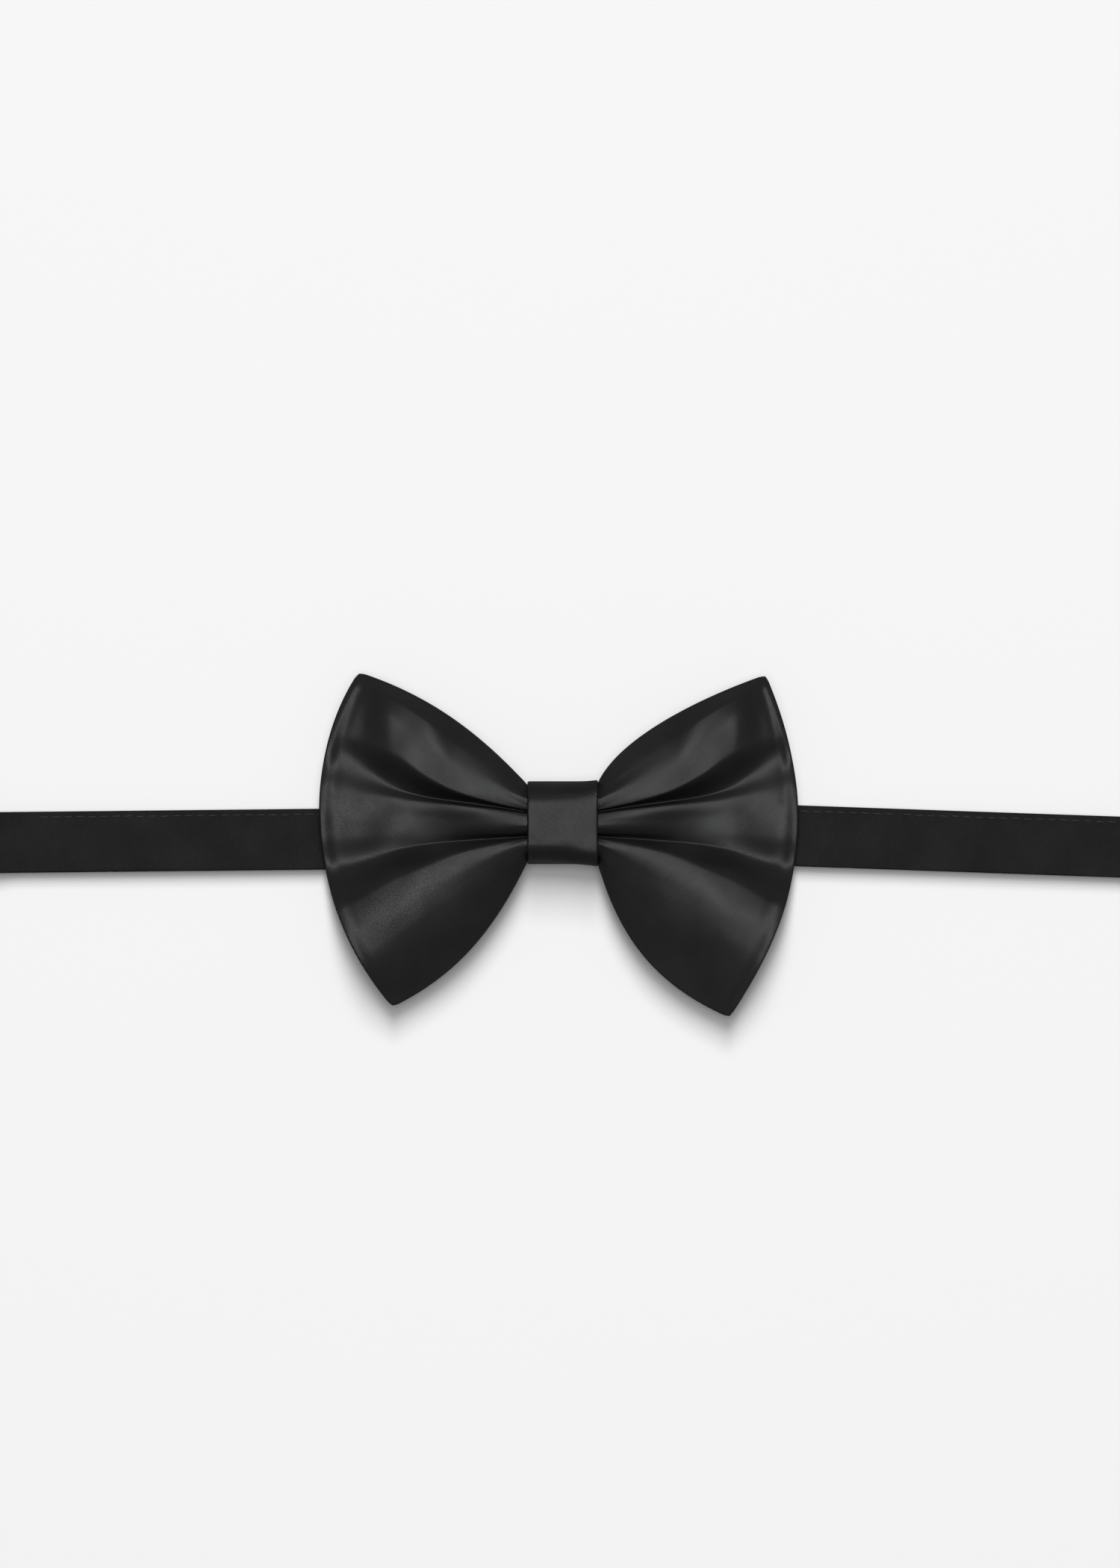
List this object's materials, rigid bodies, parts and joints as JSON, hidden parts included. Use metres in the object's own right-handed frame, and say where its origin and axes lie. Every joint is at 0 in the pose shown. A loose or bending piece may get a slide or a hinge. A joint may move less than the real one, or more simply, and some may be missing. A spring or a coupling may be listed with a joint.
{
  "type": "pre-tied bow tie",
  "caption": "Pre-tied satin bow tie with pleated wings, a wrapped knot and an adjustable neck band closed by a hook and an eye.",
  "frame": {"origin": "middle of the knot's back, on the surface that the tie lies on", "axes": "+X along the neck band towards the wing on the right of the picture, +Y towards the bow's top edge, +Z out of the bow's face"},
  "size_m": [0.4042, 0.0859, 0.0136],
  "materials": {
    "bow_satin": "black satin with a fine diagonal rib",
    "knot_satin": "black satin with a fine diagonal rib",
    "band_satin": "black satin, duller, edge-stitched",
    "backing": "matt stiffened cloth",
    "thread": "matt sewing thread",
    "nickel": "bright nickel plate"
  },
  "bodies": {
    "neck_band": {"band_centre": "band_satin"},
    "bow": {"bow_front_panel": "bow_satin", "bow_interlining": "backing", "bow_back_panel": "bow_satin", "knot_wrap": "knot_satin", "knot_pad": "backing", "gather_thread": "thread"},
    "left_side": {"band_left": "band_satin", "eye_bar_tack": "thread"},
    "eye": {"eye_ring": "nickel"},
    "right_side": {"band_right_run": "band_satin"},
    "slider": {"slider_plate": "nickel", "band_slider_weave": "band_satin", "band_sewn_end": "band_satin", "slider_bar_tack": "thread"},
    "hook_loop": {"band_return_loop": "band_satin"},
    "hook": {"hook": "nickel"}
  },
  "joints": [
    {"name": "bow_slide", "type": "slide", "parent": "neck_band", "child": "bow", "axis": [1, 0, 0], "range_m": [-0.015, 0.015]},
    {"name": "left_fold", "type": "hinge", "parent": "neck_band", "child": "left_side", "pos_m": [-0.08, -0.00435, 0.0004], "axis": [0.0105, -0.9999, 0], "range_deg": [-90, 90]},
    {"name": "eye_swivel", "type": "hinge", "parent": "left_side", "child": "eye", "pos_m": [-0.156, -0.00515, 0.0019], "axis": [0.0105, -0.9999, 0], "range_deg": [-90, 90]},
    {"name": "right_fold", "type": "hinge", "parent": "neck_band", "child": "right_side", "pos_m": [0.08, -0.00405, 0.0004], "axis": [0.0349, 0.9994, 0], "range_deg": [-90, 90]},
    {"name": "slider_slide", "type": "slide", "parent": "right_side", "child": "slider", "axis": [0.9994, -0.0349, 0], "range_m": [-0.037, 0.073], "deforming": ["band_right_run"]},
    {"name": "return_slide", "type": "slide", "parent": "slider", "child": "hook_loop", "axis": [0.9994, -0.0349, 0], "range_m": [-0.0365, 0.0185], "deforming": ["band_return_loop"]},
    {"name": "hook_swivel", "type": "hinge", "parent": "hook_loop", "child": "hook", "pos_m": [0.22491, -0.00911, 0.0019], "axis": [0.0349, 0.9994, 0], "range_deg": [-90, 90]}
  ],
  "couplings": [
    {"joint": "return_slide", "follows": "slider_slide", "ratio": -0.5}
  ]
}
